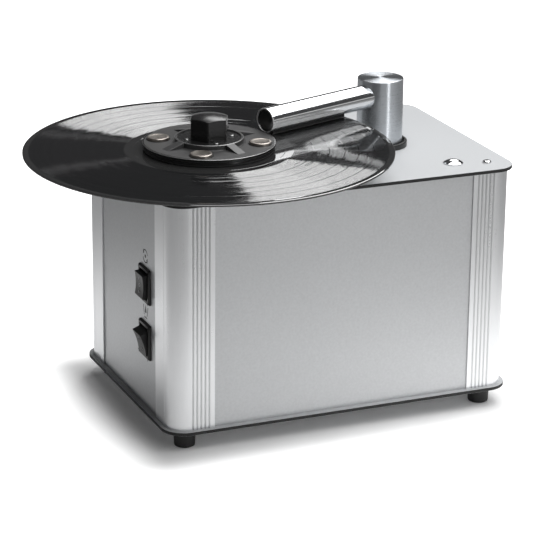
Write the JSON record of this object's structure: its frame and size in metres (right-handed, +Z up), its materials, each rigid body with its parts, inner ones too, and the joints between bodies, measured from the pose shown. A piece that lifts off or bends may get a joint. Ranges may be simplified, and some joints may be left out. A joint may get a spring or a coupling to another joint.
{
  "type": "record cleaning machine",
  "caption": "Boxed machine that turns a clamped record on a small platter while a lowered suction arm dries it.",
  "frame": {"origin": "on the surface the machine stands on, below the middle of its overall outline", "axes": "+X to the right along the front, +Y to the back, +Z up"},
  "size_m": [0.416, 0.3305, 0.2767],
  "materials": {
    "plate_composite": "satin lacquered skins on a black core",
    "post_alloy": "satin anodised",
    "panel_alloy": "fine brushed and anodised",
    "bright_screws": "bright plated",
    "zinc_steel": "zinc plated",
    "foot_rubber": "matte black",
    "vinyl": "gloss black, finely grooved",
    "mat_rubber": "matte black",
    "platter_alloy": "turned",
    "ground_steel": "ground",
    "bronze": "sintered",
    "clamp_alloy": "dark anodised, turned",
    "magnet_nickel": "nickel plated",
    "knob_plastic": "satin black",
    "tube_chrome": "bright chrome",
    "arm_post_alloy": "fine turned",
    "black_plastic": "semi-gloss black",
    "velvet": "short black pile",
    "motor_steel": "dark grey",
    "tank_plastic": "natural moulded",
    "impeller_alloy": "plain",
    "contact_brass": "tinned",
    "board_laminate": "green laminate",
    "transformer_iron": "varnished",
    "capacitor_can": "sleeved",
    "switch_frame_plastic": "semi-gloss black",
    "switch_key_plastic": "satin black"
  },
  "bodies": {
    "cabinet": {"base_plate": "plate_composite", "deck_plate": "plate_composite", "front_left_post": "post_alloy", "front_right_post": "post_alloy", "rear_left_post": "post_alloy", "rear_right_post": "post_alloy", "front_panel": "panel_alloy", "right_panel": "panel_alloy", "left_panel": "panel_alloy", "rear_panel": "panel_alloy", "deck_screws": "bright_screws", "feet": "foot_rubber", "foot_screws": "zinc_steel", "platter_bearing": "platter_alloy", "bearing_screws": "zinc_steel", "shaft_bushes": "bronze", "gear_motor": "motor_steel", "motor_bracket": "zinc_steel", "bracket_spacers": "zinc_steel", "arm_ring": "black_plastic", "arm_guide": "black_plastic", "stem_seal": "foot_rubber", "waste_tank": "tank_plastic", "tank_lid": "tank_plastic", "tank_posts": "tank_plastic", "blower_mounts": "foot_rubber", "blower_motor": "motor_steel", "blower_housing": "black_plastic", "blower_cover": "black_plastic", "exhaust_grille": "black_plastic", "mains_inlet": "black_plastic", "inlet_pins": "contact_brass", "power_board": "board_laminate", "board_spacers": "zinc_steel", "transformer": "transformer_iron", "capacitor": "capacitor_can", "motor_switch_frame": "switch_frame_plastic", "vacuum_switch_frame": "switch_frame_plastic", "switch_terminals": "contact_brass"},
    "turntable": {"platter": "platter_alloy", "platter_mat": "mat_rubber", "record": "vinyl", "spindle_shaft": "ground_steel", "coupling": "platter_alloy", "motor_shaft": "ground_steel"},
    "record_clamp": {"clamp_disc": "clamp_alloy", "clamp_seal": "foot_rubber", "clamp_magnets": "magnet_nickel", "clamp_screws": "bright_screws", "clamp_knob": "knob_plastic"},
    "arm_lifter": {"arm_stem": "platter_alloy", "stem_collar": "black_plastic"},
    "suction_arm": {"arm_post": "arm_post_alloy", "arm_tube": "tube_chrome", "tube_plug": "black_plastic", "arm_strips": "velvet"},
    "motor_switch_key": {"motor_rocker": "switch_key_plastic"},
    "vacuum_switch_key": {"vacuum_rocker": "switch_key_plastic"},
    "drain_plug": {"tank_plug": "tube_chrome"},
    "blower_rotor": {"impeller": "impeller_alloy"}
  },
  "joints": [
    {"name": "platter_spin", "type": "hinge", "parent": "cabinet", "child": "turntable", "pos_m": [-0.0572, -0.01445, 0.215], "axis": [0, 0, 1], "continuous": true},
    {"name": "clamp_lift", "type": "slide", "parent": "turntable", "child": "record_clamp", "axis": [0, 0, 1], "range_m": [0, 0.03]},
    {"name": "arm_lift", "type": "slide", "parent": "cabinet", "child": "arm_lifter", "axis": [0, 0, 1], "range_m": [0, 0.01]},
    {"name": "arm_swing", "type": "hinge", "parent": "arm_lifter", "child": "suction_arm", "pos_m": [0.1254, 0.05005, 0.215], "axis": [0, 0, 1], "range_deg": [-100, 0]},
    {"name": "motor_switch", "type": "hinge", "parent": "cabinet", "child": "motor_switch_key", "pos_m": [-0.0993, 0.01625, 0.1272], "axis": [0, 1, 0], "range_deg": [-16, 16]},
    {"name": "vacuum_switch", "type": "hinge", "parent": "cabinet", "child": "vacuum_switch_key", "pos_m": [-0.0993, 0.01625, 0.0784], "axis": [0, 1, 0], "range_deg": [0, 32]},
    {"name": "drain_plug_lift", "type": "slide", "parent": "cabinet", "child": "drain_plug", "axis": [0, 0, 1], "range_m": [0, 0.015]},
    {"name": "blower_spin", "type": "hinge", "parent": "cabinet", "child": "blower_rotor", "pos_m": [0.097, 0.07825, 0.075], "axis": [0, 0, 1], "continuous": true}
  ]
}
